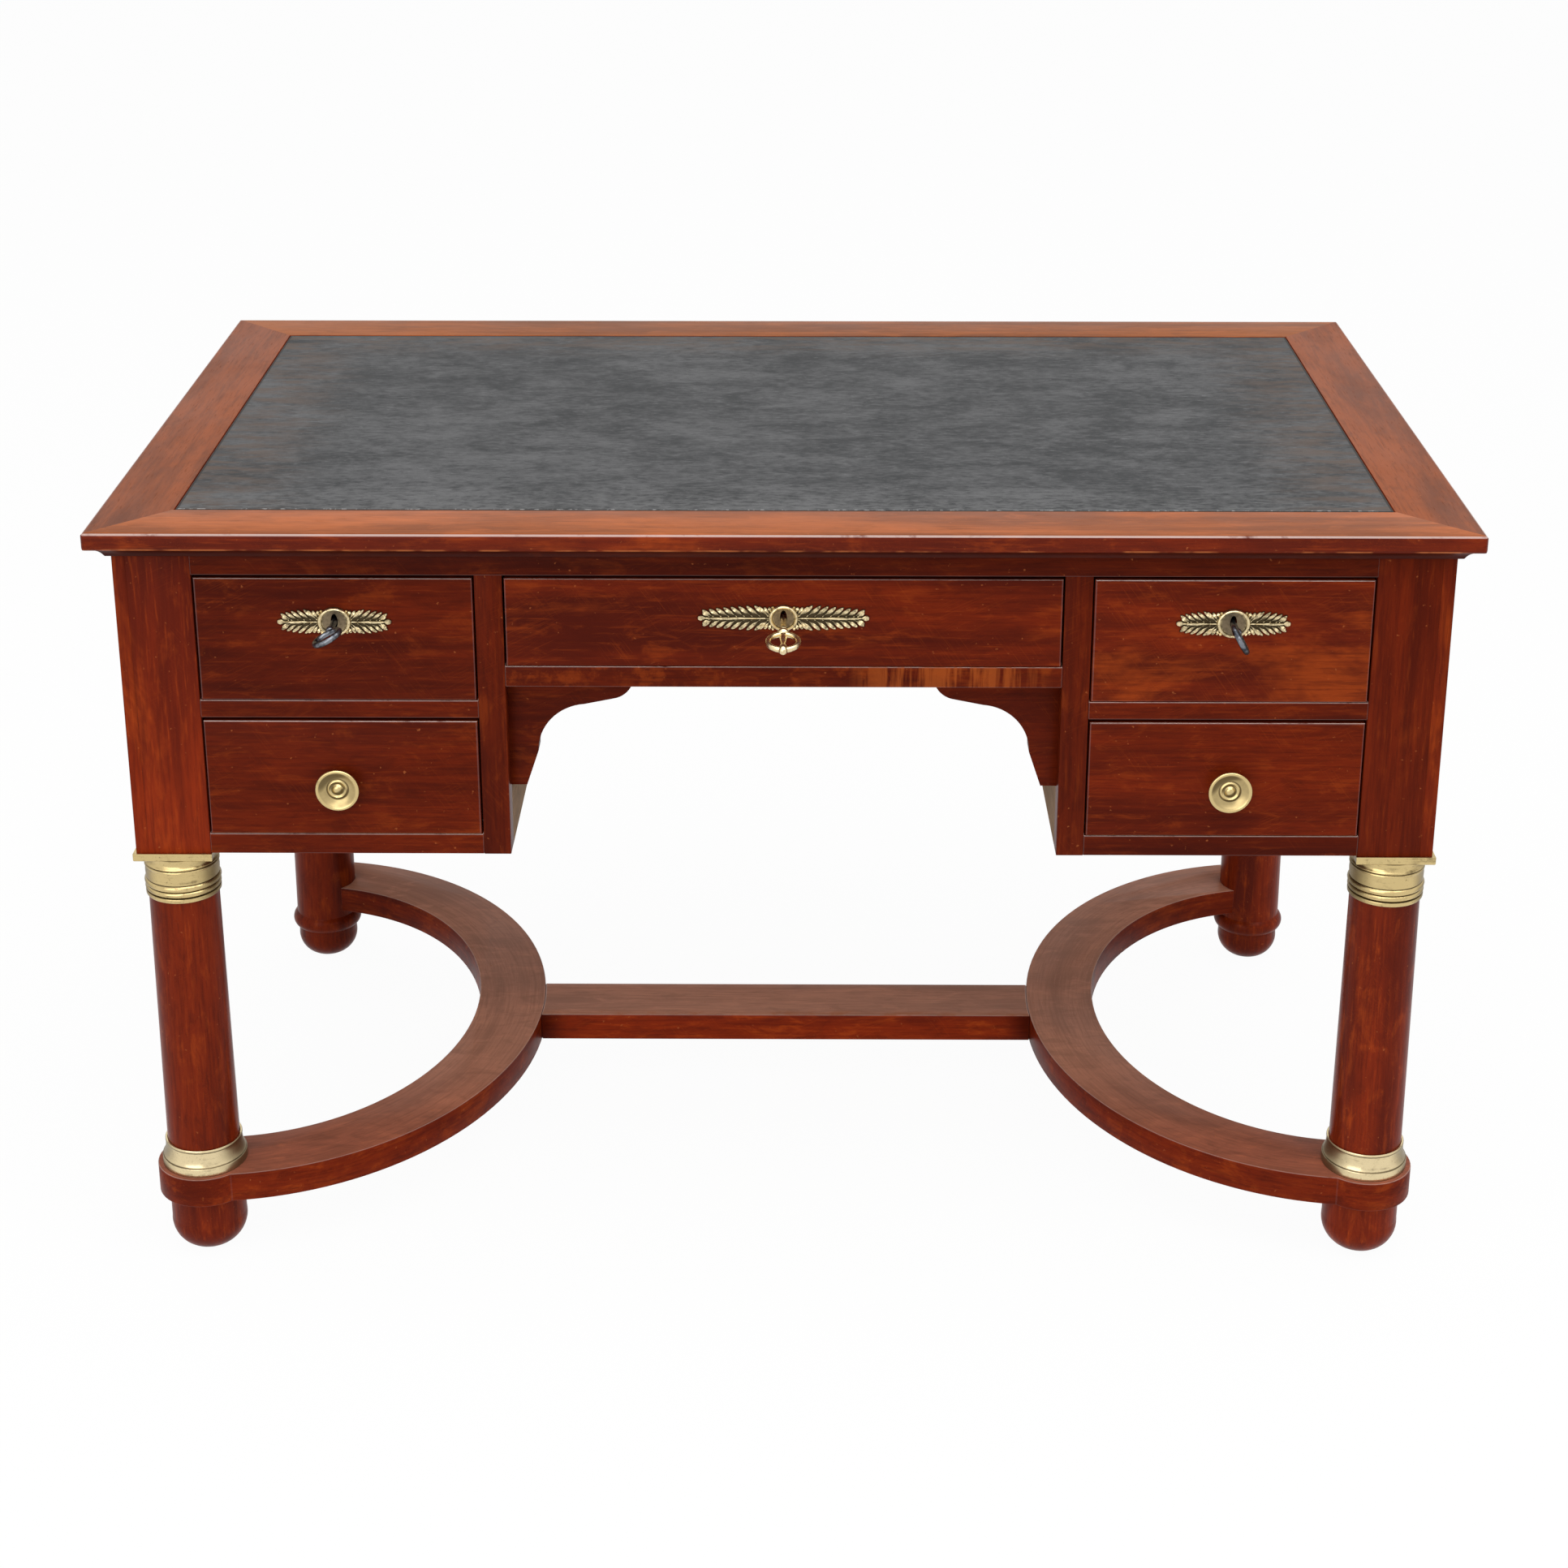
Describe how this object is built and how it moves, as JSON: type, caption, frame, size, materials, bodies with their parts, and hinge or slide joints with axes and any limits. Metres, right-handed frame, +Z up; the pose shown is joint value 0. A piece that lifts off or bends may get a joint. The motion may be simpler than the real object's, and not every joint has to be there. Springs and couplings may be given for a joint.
{
  "type": "flat desk",
  "caption": "Flat writing desk with a leather-lined top, drawers beside and over a knee-hole, keys that throw bolts, and turned column legs tied by curved stretchers.",
  "frame": {"origin": "on the floor, midway between the ends of the top and midway between the back edge of the top and the bows of the keys at the front", "axes": "+Z up, +X to the right as seen from the drawers' side, -Y towards the sitter, the way the drawers open"},
  "size_m": [1.25, 0.792, 0.762],
  "materials": {
    "mahogany": "worn polish",
    "top_border_wood": "worn polish",
    "plain_wood": "unpolished",
    "leather": "worn, dull",
    "brass": "aged, tarnished",
    "steel": "dull grey"
  },
  "bodies": {
    "carcass": {"apron_rail": "mahogany", "back_apron": "plain_wood", "back_panels": "mahogany", "base_rings": "brass", "bottom_boards": "plain_wood", "bottom_rails": "mahogany", "capital_left": "brass", "capital_right": "brass", "corbels": "mahogany", "drawer_guides": "plain_wood", "drawer_runners": "plain_wood", "front_column_left": "mahogany", "front_column_right": "mahogany", "front_feet": "mahogany", "front_post_left": "mahogany", "front_post_right": "mahogany", "inner_panel_left": "mahogany", "inner_panel_right": "mahogany", "inner_stiles": "mahogany", "leather_inset": "leather", "middle_rails": "mahogany", "rear_column_left": "mahogany", "rear_column_right": "mahogany", "rear_posts": "mahogany", "side_panel_left": "mahogany", "side_panel_right": "mahogany", "stretcher_bar": "mahogany", "stretcher_left": "mahogany", "stretcher_right": "mahogany", "top_border_back": "top_border_wood", "top_border_front": "top_border_wood", "top_border_left": "top_border_wood", "top_border_right": "top_border_wood", "top_panel": "plain_wood", "top_rail": "mahogany"},
    "upper_left_drawer": {"upper_left_drawer_front": "mahogany", "upper_left_drawer_box": "plain_wood", "escutcheon_left": "brass", "lock_left": "steel"},
    "lower_left_drawer": {"lower_left_drawer_front": "mahogany", "lower_left_drawer_box": "plain_wood", "knob_left": "brass"},
    "upper_right_drawer": {"upper_right_drawer_front": "mahogany", "upper_right_drawer_box": "plain_wood", "escutcheon_right": "brass", "lock_right": "steel"},
    "lower_right_drawer": {"lower_right_drawer_front": "mahogany", "lower_right_drawer_box": "plain_wood", "knob_right": "brass"},
    "centre_drawer": {"centre_drawer_front": "mahogany", "centre_drawer_box": "plain_wood", "escutcheon_centre": "brass", "lock_centre": "steel"},
    "key_left": {"key_left": "steel"},
    "bolt_left": {"bolt_left": "steel"},
    "key_centre": {"key_centre": "brass"},
    "bolt_centre": {"bolt_centre": "steel"},
    "key_right": {"key_right": "steel"},
    "bolt_right": {"bolt_right": "steel"}
  },
  "joints": [
    {"name": "upper_left_drawer_slide", "type": "slide", "parent": "carcass", "child": "upper_left_drawer", "axis": [0, -1, 0], "range_m": [0, 0.4]},
    {"name": "lower_left_drawer_slide", "type": "slide", "parent": "carcass", "child": "lower_left_drawer", "axis": [0, -1, 0], "range_m": [0, 0.4]},
    {"name": "upper_right_drawer_slide", "type": "slide", "parent": "carcass", "child": "upper_right_drawer", "axis": [0, -1, 0], "range_m": [0, 0.4]},
    {"name": "lower_right_drawer_slide", "type": "slide", "parent": "carcass", "child": "lower_right_drawer", "axis": [0, -1, 0], "range_m": [0, 0.4]},
    {"name": "centre_drawer_slide", "type": "slide", "parent": "carcass", "child": "centre_drawer", "axis": [0, -1, 0], "range_m": [0, 0.4]},
    {"name": "key_left_turn", "type": "hinge", "parent": "upper_left_drawer", "child": "key_left", "pos_m": [-0.40675, -0.334, 0.6705], "axis": [0, -1, 0], "range_deg": [0, 360]},
    {"name": "bolt_left_throw", "type": "slide", "parent": "upper_left_drawer", "child": "bolt_left", "axis": [0, 0, 1], "range_m": [0, 0.008]},
    {"name": "key_centre_turn", "type": "hinge", "parent": "centre_drawer", "child": "key_centre", "pos_m": [0, -0.334, 0.675], "axis": [0, -0.9781, -0.2079], "range_deg": [0, 360]},
    {"name": "bolt_centre_throw", "type": "slide", "parent": "centre_drawer", "child": "bolt_centre", "axis": [0, 0, 1], "range_m": [0, 0.008]},
    {"name": "key_right_turn", "type": "hinge", "parent": "upper_right_drawer", "child": "key_right", "pos_m": [0.40675, -0.334, 0.6705], "axis": [0, -1, 0], "range_deg": [0, 360]},
    {"name": "bolt_right_throw", "type": "slide", "parent": "upper_right_drawer", "child": "bolt_right", "axis": [0, 0, 1], "range_m": [0, 0.008]}
  ],
  "couplings": [
    {"joint": "bolt_left_throw", "follows": "key_left_turn", "m_per_rad": 0.00127},
    {"joint": "bolt_centre_throw", "follows": "key_centre_turn", "m_per_rad": 0.00127},
    {"joint": "bolt_right_throw", "follows": "key_right_turn", "m_per_rad": 0.00127}
  ]
}
